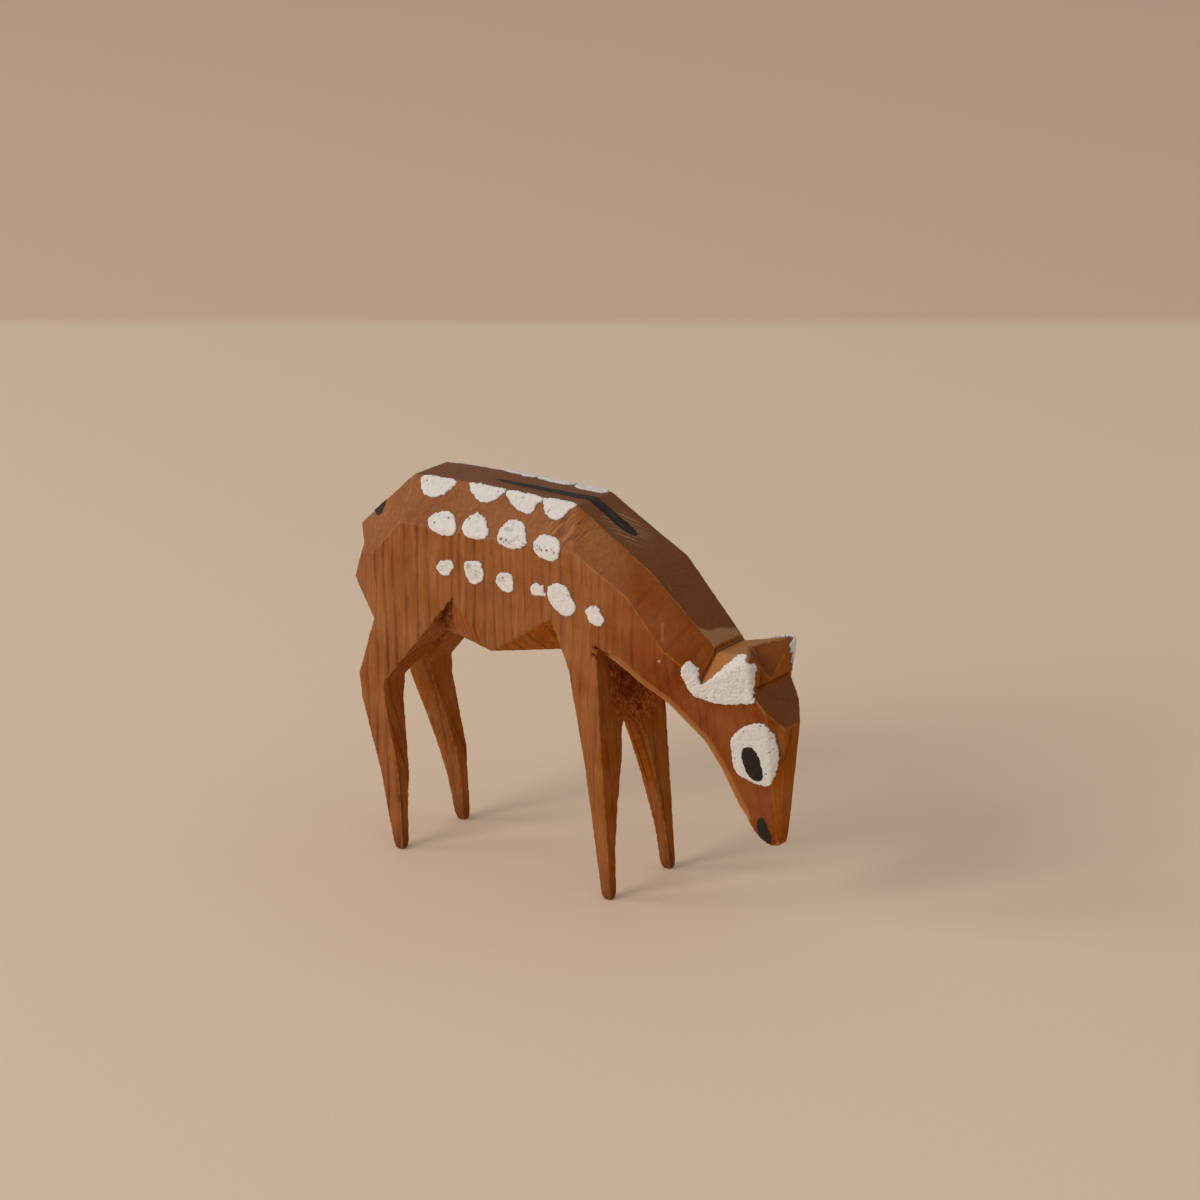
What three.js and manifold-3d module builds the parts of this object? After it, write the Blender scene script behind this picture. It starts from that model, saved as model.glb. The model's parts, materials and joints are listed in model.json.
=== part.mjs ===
// A carved and painted wooden fawn that grazes with its head down.
//
// The animal is whittled from one sawn block, with the grain running up and down so that
// the four thin legs are strong. The block is first sawn to the side outline. A knife then
// cuts flat facets along the back, rump, flanks, neck and head, splits the legs apart and
// frees the ears. Thick dabs of matt white and black paint are laid on the finished wood.
//
// Sizes are in millimetres. X runs from tail to nose, Z runs up from the floor, and the
// block's thickness runs along Y. Until the model is centred at the end, X is measured
// forward from the hind feet. "half" is half a width, measured from the middle plane.

import * as THREE from 'three';
import { mergeVertices } from 'three/addons/utils/BufferGeometryUtils.js';
import Module from 'manifold-3d';

const wasm = await Module();
wasm.setup();

// A landmark of the side view, marked out from one that is already there
function offset(base, { forward = 0, up = 0, half = 0 }) {
  return { x: base.x + forward, z: base.z + up, half };
}

// The sawn block
const backHeight = 73.2;
const blockThickness = 22;
const blockHalf = blockThickness / 2;

// The flat strip that runs along the top, from tail to nape
const rump = { x: 0.5, z: backHeight, half: 5.2 };
const tail = offset(rump, { forward: -14.5, up: -12.5, half: 3 });
const saddle = offset(rump, { forward: 14.5, up: 0.5 });
const withers = offset(rump, { forward: 37.3, half: 5.6 });
const neckBend = offset(withers, { forward: 16.5, up: -9.7, half: 6.2 });
const nape = offset(neckBend, { forward: 14, up: -13.3, half: 4.4 });
const blockTop = saddle.z + blockHalf;

// Where the sloping facets beside that strip run out onto the sawn sides
const hipFacetFoot = offset(rump, { forward: 2.3, up: -6.2, half: blockHalf });
const backFacetFoot = offset(withers, { up: -7.4, half: blockHalf });
const shoulderFacetFoot = offset(withers, { forward: 10.2, up: -11.4, half: blockHalf });
const neckFacetFoot = offset(neckBend, { forward: 6.5, up: -12.2, half: 10 });

// The rump and thighs. The facet round the buttock is turned away from the sawn side by
// an angle in degrees.
const underTail = offset(tail, { forward: 4.4, up: -2.5 });
const buttock = offset(tail, { forward: 0.6, up: -9.7 });
const gaskin = offset(tail, { forward: 8.8, up: -15.4, half: blockHalf });
const flank = offset(rump, { forward: 12.7, up: -20.9, half: blockHalf });
const buttockTurn = 31.6;

// The belly. Two facets on each side run down from the flank and the elbow to its low point.
const bellyRear = offset(rump, { forward: 11.9, up: -28.8, half: 8 });
const bellyLow = offset(bellyRear, { forward: 9.7, up: -0.7, half: blockHalf });
const bellyFront = offset(withers, { forward: -2.9, up: -27.8, half: 7 });
const elbow = offset(withers, { forward: -2.4, up: -20.8, half: blockHalf });

// The forequarters, and the hollow that is chopped into the chest between the forelegs
const forearm = offset(withers, { forward: 1.7, up: -29.9 });
const chest = offset(withers, { forward: 8, up: -24.8, half: 9.5 });
const chestHollow = offset(chest, { forward: -2.4, up: -7.4 });
const chestHollowFootHalf = 4;

// Each leg tapers to a small flat sole. Its rear edge is given from the top down and its
// front edge from the foot up. Its thickness is measured inward from the sawn side. The
// crotch is the top of the gap in a pair of legs.
const hindFoot = { x: 0, z: 0 };
const hindLeg = {
  foot: hindFoot,
  crotch: offset(gaskin, { up: -2.3 }),
  rear: [
    offset(hindFoot, { forward: -8.9, up: 34 }),
    offset(hindFoot, { forward: -8.3, up: 29 }),
    offset(hindFoot, { forward: -4.2, up: 15.3 }),
  ],
  front: [
    offset(hindFoot, { forward: 0.2, up: 15 }),
    offset(hindFoot, { forward: -2.9, up: 29 }),
    offset(hindFoot, { forward: -3.1, up: 33 }),
  ],
  levels: [
    { up: 33, thickness: 7.2 },
    { up: 22, thickness: 4.8 },
    { up: 9, thickness: 2.6 },
  ],
};
const foreFoot = { x: withers.x + 10.2, z: 0 };
const foreLeg = {
  foot: foreFoot,
  crotch: offset(foreFoot, { up: 33.5 }),
  rear: [offset(foreFoot, { forward: -4.7, up: 24 })],
  front: [offset(foreFoot, { forward: -1.5, up: 33 })],
  levels: [
    { up: 30, thickness: 7.8 },
    { up: 18, thickness: 4.6 },
    { up: 9, thickness: 2.8 },
  ],
};
const soleLength = 2;
const soleThickness = 2.2;

// The head, from the throat round the chin and up the forehead
const throat = [
  offset(chest, { forward: 7.2, up: -3.6 }),
  offset(nape, { forward: -8.3, up: -10 }),
];
const jaw = [
  offset(nape, { forward: -1.7, up: -16.5 }),
  offset(nape, { forward: 1.1, up: -21.7 }),
  offset(nape, { forward: 3.9, up: -28.7 }),
  offset(nape, { forward: 6.9, up: -33.9 }),
];
const chin = offset(nape, { forward: 9.5, up: -36 });
const lip = offset(nape, { forward: 11.2, up: -35.8 });
const nose = offset(nape, { forward: 11.6, up: -33.7, half: 1.3 });
const muzzleSide = offset(nose, { half: 1.8 });
const brow = offset(nape, { forward: 13.1, up: -12.7, half: 2.6 });
const cheek = offset(nape, { forward: 10.8, up: -9.7, half: 5.7 });

// The ears stand between the notches cut in behind them and the hollow cut between them.
// The neck stops a little short of the nape, so each notch has a narrow wall at its back.
const earNotch = offset(nape, { forward: -1.5, up: -5.4, half: 8.8 });
const neckEnd = offset(nape, { forward: -0.9 });
const earBase = offset(nape, { forward: 8.4, up: -5.8 });
const earTip = offset(earBase, { up: 7.3, half: 7.3 });
const crownLength = 3.7;
const crownFoot = offset(earBase, { up: 1 });

// Paint. A stencil reaches this far to either side of the point that it is centred on.
const paintThickness = 0.4;
const paintClearance = 0.2;
const paintReach = 7;
const outlineSteps = 18;

// Rows of white dabs, from the rump forward. A dab is given by the bare wood before it, its
// length and its height. "drop" is the row's depth below the back, and a dab's own depth
// below its row. The top row straddles the edge of the back, so only the lower halves of
// its ovals show.
const topRow = {
  start: offset(rump, { forward: 1.9 }),
  end: withers,
  drop: 0,
  dabs: [
    { bare: 0, length: 8, height: 5.2 },
    { bare: 3, length: 8.1, height: 3.8 },
    { bare: 0.5, length: 8, height: 4.4 },
    { bare: 0.5, length: 7.3, height: 4.7 },
  ],
};
const middleRow = {
  start: offset(rump, { forward: 7.2 }),
  end: withers,
  drop: 6.9,
  dabs: [
    { bare: 0, length: 6.2, height: 4 },
    { bare: 1.7, length: 5.6, height: 4.2, drop: -0.4 },
    { bare: 2.7, length: 6, height: 4.5, drop: -0.4 },
    { bare: 2.1, length: 5.8, height: 4.1, drop: 0.8 },
  ],
};
const lowerRow = {
  start: offset(rump, { forward: 9.4 }),
  end: offset(withers, { forward: -10.2 }),
  drop: 15.1,
  dabs: [
    { bare: 0, length: 4, height: 3 },
    { bare: 2.4, length: 4.8, height: 4.4, drop: -0.2 },
    { bare: 2.5, length: 4, height: 4, drop: 0.3 },
  ],
};
const shoulderRow = {
  start: offset(withers, { forward: -6.5 }),
  end: offset(withers, { forward: 10.2 }),
  drop: 15.7,
  tilt: -24,
  dabs: [
    { bare: 0, length: 3.5, height: 2.3 },
    { bare: 0.2, length: 6.7, height: 6.1, drop: 1 },
    { bare: 2.1, length: 4.2, height: 3.9, drop: 2.8 },
  ],
};

// Painted ovals of the head, and the white patch that wraps the back of an ear
const eye = { centre: offset(brow, { forward: -4.9, up: -4.8 }), length: 8.8, height: 12.1, tilt: 4 };
const pupil = { centre: offset(brow, { forward: -4.8, up: -6.9 }), length: 3.1, height: 6.4, tilt: 10 };
const nostril = { centre: offset(nose, { forward: -2.3, up: 1.1 }), length: 1.7, height: 4.6, tilt: 14 };
const earWhite = [
  offset(earTip, { forward: -1.5, up: 0.5 }),
  offset(earTip, { forward: 0.4, up: 0.6 }),
  offset(earTip, { forward: 0.6, up: -8.6 }),
  offset(earTip, { forward: -3.2, up: -9.8 }),
  offset(earNotch, { forward: 0.2, up: -2.3 }),
  offset(earNotch, { forward: -1.9, up: -0.7 }),
  offset(earNotch, { forward: -2.7, up: 2.7 }),
  offset(earNotch, { forward: -1.3, up: 4.1 }),
  offset(earNotch, { forward: 0.1, up: 2.9 }),
  offset(earNotch, { forward: 0.6, up: 0.5 }),
];

// The black stripe, from a thin tip on the back to a round end between the shoulders. It
// wavers a little to either side of the middle.
const stripe = [
  { forward: -21.9, left: -0.9, half: 0.3 },
  { forward: -17.8, left: -1.1, half: 1.1 },
  { forward: -9.8, left: -1.1, half: 1.4 },
  { forward: 0, left: -0.1, half: 1.45 },
  { forward: 8.2, left: 0.2, half: 1.35 },
  { forward: 9.4, left: 0.2, half: 0.6 },
];
const tailPatch = { length: 4.6, height: 9.6, shareOfSlope: 0.38 };

const woodFinish = { color: 0x9a5a34, roughness: 0.62, metalness: 0 };
const whiteFinish = { color: 0xe9e4dc, roughness: 0.85, metalness: 0 };
const blackFinish = { color: 0x14161b, roughness: 0.6, metalness: 0 };

// Turning geometry into solids and back

function solidFrom(geometry) {
  const bare = geometry.clone();
  bare.deleteAttribute('normal');
  bare.deleteAttribute('uv');
  const merged = mergeVertices(bare, 1e-5);
  const mesh = new wasm.Mesh({
    numProp: 3,
    vertProperties: new Float32Array(merged.attributes.position.array),
    triVerts: new Uint32Array(merged.index.array),
  });
  return new wasm.Manifold(mesh);
}

function geometryFrom(solid) {
  const mesh = solid.getMesh();
  const geometry = new THREE.BufferGeometry();
  geometry.setAttribute('position', new THREE.BufferAttribute(mesh.vertProperties, 3));
  geometry.setIndex(new THREE.BufferAttribute(mesh.triVerts, 1));
  return geometry;
}

function slab(outline, depth) {
  const shape = new THREE.Shape(outline.map((point) => new THREE.Vector2(point.x, point.z)));
  return new THREE.ExtrudeGeometry(shape, { depth, bevelEnabled: false });
}

// The block, sawn to a side outline
function sawn(outline) {
  const geometry = slab(outline, blockThickness);
  geometry.rotateX(Math.PI / 2);
  geometry.translate(0, blockHalf, 0);
  return solidFrom(geometry);
}

// Knife cuts. Each is given by three points on the right side, where Y is negative.

function onRight({ x, z, half }) {
  return new THREE.Vector3(x, -half, z);
}

function onMiddle({ x, z }) {
  return new THREE.Vector3(x, 0, z);
}

function acrossFrom(point) {
  return new THREE.Vector3(point.x, -point.y, point.z);
}

// All the space on the far side of the plane through three points, seen from the core
function beyond([a, b, c], core) {
  const reach = 400;
  const normal = b.clone().sub(a).cross(c.clone().sub(a)).normalize();
  if (normal.dot(core.clone().sub(a)) > 0) {
    normal.negate();
  }
  const geometry = new THREE.BoxGeometry(reach, reach, reach);
  geometry.translate(0, 0, reach / 2);
  const turn = new THREE.Quaternion().setFromUnitVectors(new THREE.Vector3(0, 0, 1), normal);
  geometry.applyQuaternion(turn);
  geometry.translate(a.x, a.y, a.z);
  return solidFrom(geometry);
}

// One flat cut straight across the wood, through two points of its side outline
function slice(solid, from, to, core) {
  const side = new THREE.Vector3(to.x, -blockHalf, to.z);
  return solid.subtract(beyond([onMiddle(from), onMiddle(to), side], core));
}

// One flat cut on the right side and its twin on the left
function pare(solid, cut, core) {
  return solid.subtract(beyond(cut, core)).subtract(beyond(cut.map(acrossFrom), core));
}

// A V-shaped hollow with its bottom on the middle plane: what a cut and its twin share
function hollow(solid, cut, core) {
  return solid.subtract(beyond(cut, core).intersect(beyond(cut.map(acrossFrom), core)));
}

// The top of the trunk and neck: a flat strip along the middle and facets on either side

const trunkCore = onMiddle({ x: saddle.x, z: (saddle.z + bellyLow.z) / 2 });
const topline = [tail, rump, saddle, withers, neckBend, nape];
const topFacets = [
  [tail, rump, hipFacetFoot],
  [rump, withers, backFacetFoot],
  [withers, neckBend, shoulderFacetFoot],
  [neckBend, nape, neckFacetFoot],
];

function cutTop(solid) {
  let wood = solid;
  for (let i = 1; i < topline.length; i += 1) {
    wood = slice(wood, topline[i - 1], topline[i], trunkCore);
  }
  for (const facet of topFacets) {
    wood = pare(wood, facet.map(onRight), trunkCore);
  }
  return wood;
}

// Legs

function sole({ foot }) {
  return [offset(foot, { forward: -soleLength / 2 }), offset(foot, { forward: soleLength / 2 })];
}

// The gap between a pair of legs, as a tunnel along X. It runs on below the floor.
function legGap({ crotch, levels }, fromX, toX) {
  const foot = [{ up: 0, thickness: soleThickness }, { up: -soleLength, thickness: soleThickness }];
  const walls = [...levels, ...foot].map(({ up, thickness }) => ({ x: blockHalf - thickness, z: up }));
  const twins = walls.map((point) => ({ x: -point.x, z: point.z })).reverse();
  const geometry = slab([{ x: 0, z: crotch.z }, ...walls, ...twins], toX - fromX);
  geometry.rotateX(Math.PI / 2);
  geometry.rotateZ(Math.PI / 2);
  geometry.translate(fromX, 0, 0);
  return solidFrom(geometry);
}

function hindquarters() {
  const stifle = hindLeg.front.at(-1);
  const thighOutline = [
    tail,
    underTail,
    buttock,
    gaskin,
    stifle,
    flank,
    { x: flank.x, z: blockTop },
    { x: tail.x, z: blockTop },
  ];
  const legOutline = [gaskin, ...hindLeg.rear, ...sole(hindLeg), ...hindLeg.front, flank];
  const edge = onRight(gaskin);
  const turn = THREE.MathUtils.degToRad(buttockTurn);
  const buttockFacet = [
    edge,
    edge.clone().add(new THREE.Vector3(0, 0, 1)),
    edge.clone().add(new THREE.Vector3(-Math.cos(turn), Math.sin(turn), 0)),
  ];
  const thighs = pare(sawn(thighOutline), buttockFacet, trunkCore);
  const gap = legGap(hindLeg, tail.x - blockThickness, flank.x);
  return thighs.add(sawn(legOutline)).subtract(gap);
}

function barrel() {
  const outline = [
    { x: hipFacetFoot.x, z: bellyRear.z },
    bellyRear,
    bellyLow,
    bellyFront,
    { x: forearm.x, z: bellyFront.z },
    { x: forearm.x, z: blockTop },
    { x: hipFacetFoot.x, z: blockTop },
  ];
  const flankFacet = [flank, bellyLow, bellyRear].map(onRight);
  const girthFacet = [elbow, bellyLow, bellyFront].map(onRight);
  return pare(pare(sawn(outline), flankFacet, trunkCore), girthFacet, trunkCore);
}

function forequarters() {
  const outline = [
    elbow,
    forearm,
    ...foreLeg.rear,
    ...sole(foreLeg),
    ...foreLeg.front,
    chest,
    { x: chest.x, z: blockTop },
    { x: elbow.x, z: blockTop },
  ];
  const hollowFoot = { x: foreLeg.front[0].x, z: foreLeg.levels[0].up, half: chestHollowFootHalf };
  const gap = legGap(foreLeg, bellyFront.x, chest.x + blockThickness);
  const chopped = [onMiddle(chestHollow), onRight(hollowFoot), onRight(chest)];
  return hollow(sawn(outline).subtract(gap), chopped, trunkCore);
}

// The sides of the neck and head taper forward and down to the nose
const headSide = [earNotch, cheek, muzzleSide].map(onRight);

function neck() {
  const outline = [
    elbow,
    { x: forearm.x, z: chest.z },
    chest,
    ...throat,
    jaw[0],
    earNotch,
    neckEnd,
    { x: neckEnd.x, z: blockTop },
    { x: elbow.x, z: blockTop },
  ];
  return pare(sawn(outline), headSide, trunkCore);
}

function head() {
  const crownSlope = (earTip.z - nape.z) / (earTip.x - nape.x);
  const onCrown = (x) => ({ x, z: nape.z + crownSlope * (x - nape.x) });
  const outline = [
    { x: neckFacetFoot.x, z: throat[1].z },
    ...jaw,
    chin,
    lip,
    nose,
    brow,
    earBase,
    earTip,
    onCrown(neckFacetFoot.x),
  ];
  const core = onMiddle({ x: jaw[1].x, z: cheek.z });
  const foreheadEdge = [cheek, brow, nose].map(onRight);
  const earBack = [nape, earTip, earNotch].map(onRight);
  const faceted = [headSide, foreheadEdge, earBack].reduce(
    (solid, facet) => pare(solid, facet, core),
    sawn(outline),
  );
  const crownFront = onCrown(nape.x + crownLength);
  const betweenEars = [onMiddle(crownFront), onMiddle(crownFoot), onRight(earTip)];
  return hollow(faceted, betweenEars, core);
}

const wood = cutTop(hindquarters().add(barrel()).add(forequarters()).add(neck())).add(head());
const woodGeometry = geometryFrom(wood);

// Paint, laid along a brush direction

const fromRight = new THREE.Vector3(0, -1, 0);
const fromLowRight = new THREE.Vector3(0, -1, -0.2).normalize();
const fromAbove = new THREE.Vector3(0, 0, 1);
const fromBehind = new THREE.Vector3(tail.z - rump.z, 0, rump.x - tail.x).normalize();

function woodMoved(along, distance) {
  const step = along.clone().multiplyScalar(distance);
  return solidFrom(woodGeometry.clone().translate(step.x, step.y, step.z));
}

// A prism round a point of the wood, with its outline square to the brush direction
function stencil(outline, centre, along) {
  const geometry = slab(outline, 2 * paintReach);
  geometry.translate(0, 0, -paintReach);
  const forward = new THREE.Vector3(1, 0, 0).projectOnPlane(along).normalize();
  const frame = new THREE.Matrix4().makeBasis(forward, along.clone().cross(forward), along);
  frame.setPosition(centre);
  return solidFrom(geometry.applyMatrix4(frame));
}

// A layer that takes on the facets below it. "lift" is its height above the bare wood.
function coat(outline, centre, along, lift = paintClearance) {
  const inside = woodMoved(along, lift + paintThickness).intersect(stencil(outline, centre, along));
  return inside.subtract(woodMoved(along, lift)).subtract(wood);
}

// A round-cornered oval, a little squarer than an ellipse, as a loaded brush leaves it
function oval({ length, height, tilt = 0 }) {
  const squareness = 0.05;
  const middle = new THREE.Vector2();
  return Array.from({ length: outlineSteps }, (_, i) => {
    const turn = (2 * Math.PI * i) / outlineSteps;
    const swell = (1 - squareness * Math.cos(4 * turn)) / 2;
    const point = new THREE.Vector2(length * swell * Math.cos(turn), height * swell * Math.sin(turn));
    point.rotateAround(middle, THREE.MathUtils.degToRad(tilt));
    return { x: point.x, z: point.y };
  });
}

// A row's dabs and bare gaps are stretched to fill the way from its start to its end
function dabRow({ start, end, drop, dabs, tilt }, half, along) {
  const total = dabs.reduce((sum, { bare, length }) => sum + bare + length, 0);
  const stretch = (end.x - start.x) / total;
  let x = start.x;
  return dabs.map((dab) => {
    const length = dab.length * stretch;
    x += dab.bare * stretch + length;
    const centre = onRight({ x: x - length / 2, z: backHeight - drop - (dab.drop ?? 0), half });
    return coat(oval({ length, height: dab.height, tilt }), centre, along);
  });
}

function headMark(mark, lift) {
  return coat(oval(mark), onRight({ ...mark.centre, half: cheek.half }), fromRight, lift);
}

function earPatch() {
  const outline = earWhite.map((point) => ({ x: point.x - earTip.x, z: point.z - earTip.z }));
  return coat(outline, onRight(earTip), fromRight);
}

function backStripe() {
  const edge = (side) => stripe.map(({ forward, left, half }) => ({ x: forward, z: left + side * half }));
  return coat([...edge(1), ...edge(-1).reverse()], onMiddle(withers), fromAbove);
}

function tailMark() {
  const centre = onMiddle(tail).lerp(onMiddle(rump), tailPatch.shareOfSlope);
  return coat(oval(tailPatch), centre, fromBehind);
}

// Putting the fawn together

const fawn = new THREE.Group();

function addPiece(name, geometry, finish) {
  geometry.computeVertexNormals();
  const mesh = new THREE.Mesh(geometry, new THREE.MeshStandardMaterial(finish));
  mesh.name = name;
  fawn.add(mesh);
}

// A mark on the right side and the same mark on the left. Turning the list of corners
// round keeps the left one's faces outward.
function addPair(name, solid, finish) {
  const right = geometryFrom(solid);
  const left = right.clone().scale(1, -1, 1);
  left.index.array.reverse();
  addPiece(`right_${name}`, right, finish);
  addPiece(`left_${name}`, left, finish);
}

function addRow(name, solids) {
  solids.forEach((solid, i) => addPair(`${name}_${i + 1}`, solid, whiteFinish));
}

addPiece('carved_body', woodGeometry, woodFinish);
addRow('top_spot', dabRow(topRow, rump.half, fromLowRight));
addRow('middle_spot', dabRow(middleRow, blockHalf, fromRight));
addRow('lower_spot', dabRow(lowerRow, blockHalf, fromRight));
addRow('shoulder_spot', dabRow(shoulderRow, blockHalf, fromRight));
addPair('ear_white', earPatch(), whiteFinish);
addPair('eye_white', headMark(eye), whiteFinish);
addPair('pupil', headMark(pupil, 2 * paintClearance + paintThickness), blackFinish);
addPair('nostril', headMark(nostril), blackFinish);
addPiece('back_stripe', geometryFrom(backStripe()), blackFinish);
addPiece('tail_patch', geometryFrom(tailMark()), blackFinish);

// The origin is put at the middle of the whole animal, on the floor
const box = new THREE.Box3().setFromObject(fawn);
const middle = box.getCenter(new THREE.Vector3());
for (const piece of fawn.children) {
  piece.geometry.translate(-middle.x, -middle.y, -box.min.z);
}

export default fawn;
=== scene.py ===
# %% [markdown]
# # A carved and painted wooden fawn
#
# This lesson dresses a imported CAD model so that it looks like the real thing: a fawn whittled
# from one block of reddish wood, dotted with thick white paint. The CAD model already has
# the true shape and size. What it lacks is what a knife, a saw and a brush leave behind,
# and that is what we add here, one kind of mark after another.
#
# The first cell loads the model as a fixed frame. Every piece that we make later stands in
# the same place as the CAD piece that it replaces.

# %% Load the imported model
import json
import math

import bpy
import numpy as np
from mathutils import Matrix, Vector, noise
from mathutils.bvhtree import BVHTree

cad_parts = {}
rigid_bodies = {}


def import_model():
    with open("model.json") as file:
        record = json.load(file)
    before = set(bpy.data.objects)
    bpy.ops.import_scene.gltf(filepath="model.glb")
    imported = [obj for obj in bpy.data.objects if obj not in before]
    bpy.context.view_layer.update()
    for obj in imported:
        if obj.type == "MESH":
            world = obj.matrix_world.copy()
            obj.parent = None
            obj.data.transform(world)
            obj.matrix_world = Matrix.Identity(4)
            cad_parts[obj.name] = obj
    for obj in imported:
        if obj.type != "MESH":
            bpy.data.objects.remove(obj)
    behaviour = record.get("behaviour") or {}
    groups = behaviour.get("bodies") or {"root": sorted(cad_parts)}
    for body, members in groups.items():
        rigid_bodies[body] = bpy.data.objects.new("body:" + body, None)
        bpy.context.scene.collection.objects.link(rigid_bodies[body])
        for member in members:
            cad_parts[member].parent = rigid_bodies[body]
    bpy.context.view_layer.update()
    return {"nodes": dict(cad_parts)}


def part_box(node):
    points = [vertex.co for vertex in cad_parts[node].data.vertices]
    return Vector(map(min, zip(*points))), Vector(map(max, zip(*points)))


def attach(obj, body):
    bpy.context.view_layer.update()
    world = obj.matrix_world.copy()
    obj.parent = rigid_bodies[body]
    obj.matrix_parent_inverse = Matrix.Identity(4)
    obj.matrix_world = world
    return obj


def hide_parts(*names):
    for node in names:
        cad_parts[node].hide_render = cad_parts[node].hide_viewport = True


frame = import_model()
scene = bpy.context.scene

# %% [markdown]
# ## Where the camera stands
#
# A photograph fixes more than a direction. How fast parallel edges run together tells how
# far away the lens was. Here the four soles and the upright edges were lined up with the
# photograph, which gave a long lens a little over 80 cm away, looking slightly down and
# from ahead of the shoulder. A long lens keeps a small thing like this free of distortion.

# %% Make the camera
camera_azimuth = math.radians(34.48)
camera_elevation = math.radians(17.16)
camera_distance = 0.8313
camera_aim = Vector((0.00538, 0, 0.05386))


def direction(azimuth, elevation):
    """The unit vector from the object towards a viewer. Azimuth 0 stands on the -Y side."""
    level = math.cos(elevation)
    return Vector((math.sin(azimuth) * level, -math.cos(azimuth) * level, math.sin(elevation)))


def add_object(name, data):
    """An object for this data, in the scene."""
    made = bpy.data.objects.new(name, data)
    scene.collection.objects.link(made)
    return made


def turn_towards(thing, place, target):
    """Puts a camera or a light at a place and points it at a target."""
    thing.location = place
    thing.rotation_euler = (target - place).to_track_quat("-Z", "Y").to_euler()


camera = add_object("camera", bpy.data.cameras.new("camera"))
camera.data.sensor_width = 36
camera.data.lens = 135
towards_camera = direction(camera_azimuth, camera_elevation)
turn_towards(camera, camera_aim + towards_camera * camera_distance, camera_aim)
scene.camera = camera
print("camera at", [round(v, 3) for v in camera.location])

# %% [markdown]
# ## Small helpers for materials
#
# A material in Blender is a graph of nodes. Written out in full, each node takes four or five
# lines, and the idea gets lost. The helper called step makes a node, sets its options and fills
# its inputs in one call. An input may be a number, a colour, or the output of another node.
# The helpers after it are the few steps that this lesson needs again and again.

# %% Helpers for building a finish
MM = 0.001


def new_finish(name):
    """A material with a shader, and the node graph that leads to it."""
    finish = bpy.data.materials.new(name)
    finish.use_nodes = True
    graph = finish.node_tree
    return finish, graph, graph.nodes["Principled BSDF"]


def fill(graph, node, inputs):
    """Fills a node's inputs, with values or with links from other nodes."""
    for key, value in inputs.items():
        if isinstance(value, bpy.types.NodeSocket):
            graph.links.new(value, node.inputs[key])
        else:
            node.inputs[key].default_value = value
    return node


def step(graph, kind, inputs, **options):
    """Adds one node to the graph."""
    node = graph.nodes.new(kind)
    for key, value in options.items():
        setattr(node, key, value)
    return fill(graph, node, inputs)


def maths(graph, operation, *values):
    """One sum on numbers."""
    return step(graph, "ShaderNodeMath", dict(enumerate(values)), operation=operation).outputs[0]


def blend_colour(graph, share, first, second):
    """The first colour, changed towards the second by a share from 0 to 1."""
    return step(graph, "ShaderNodeMix", {0: share, 6: first, 7: second}, data_type="RGBA").outputs[2]


def remap(graph, value, from_low, from_high, to_low=0.0, to_high=1.0):
    """A value stretched from one range to another, and kept inside it."""
    ranges = {"From Min": from_low, "From Max": from_high, "To Min": to_low, "To Max": to_high}
    return step(graph, "ShaderNodeMapRange", {"Value": value, **ranges}).outputs["Result"]


def marked(graph, name):
    """A number that the mesh carries at each of its points."""
    return step(graph, "ShaderNodeAttribute", {}, attribute_name=name).outputs["Fac"]


def millimetres(graph, stretch=(1, 1, 1)):
    """The place on the object in millimetres, stretched along each axis."""
    place = step(graph, "ShaderNodeTexCoord", {}).outputs["Object"]
    scale = [s / MM for s in stretch]
    return step(graph, "ShaderNodeMapping", {"Vector": place, "Scale": scale}).outputs["Vector"]


def mottle(graph, place, size, detail=3.0):
    """Smooth random variation about 0.5, with blotches of about this size in millimetres."""
    inputs = {"Vector": place, "Scale": 1 / size, "Detail": detail}
    return step(graph, "ShaderNodeTexNoise", inputs).outputs["Fac"]


def bumped(graph, height, strength, depth):
    """Bends the light as if the surface rose and fell with this height, by a depth in millimetres."""
    inputs = {"Height": height, "Strength": strength, "Distance": depth * MM}
    return step(graph, "ShaderNodeBump", inputs).outputs["Normal"]


def tone(red, green, blue):
    """A colour given on the scale of a screen, from 0 to 255, as the light values that shaders use."""
    def light(level):
        """One channel, from the scale of a screen to the scale of light."""
        return level / 255 / 12.92 if level <= 10 else ((level / 255 + 0.055) / 1.055) ** 2.4

    return (light(red), light(green), light(blue), 1)


print("helpers ready")

# %% [markdown]
# ## The floor
#
# The fawn stands on a pale board. Only a plain floor is wanted here, so a single wide sheet
# does. Past a line behind the fawn, where a second board stands up, the sheet is painted a
# shade darker, as painted shade for that upright board. The line is drawn softly, so the picture
# keeps its depth without a wall that would stand in the way of a camera behind the fawn.

# %% Lay the floor
floor_reach = 6.0
back_line = 0.436
back_line_softness = 0.006
floor_near_colour = tone(243, 217, 191)
floor_painted_shade_colour = tone(232, 198, 172)
floor_fleck_colour = tone(206, 172, 142)

corners = [(-1, -1), (1, -1), (1, 1), (-1, 1)]
floor_mesh = bpy.data.meshes.new("floor")
floor_mesh.from_pydata([(x * floor_reach, y * floor_reach, 0) for x, y in corners], [], [(0, 1, 2, 3)])
floor = add_object("floor", floor_mesh)

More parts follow.
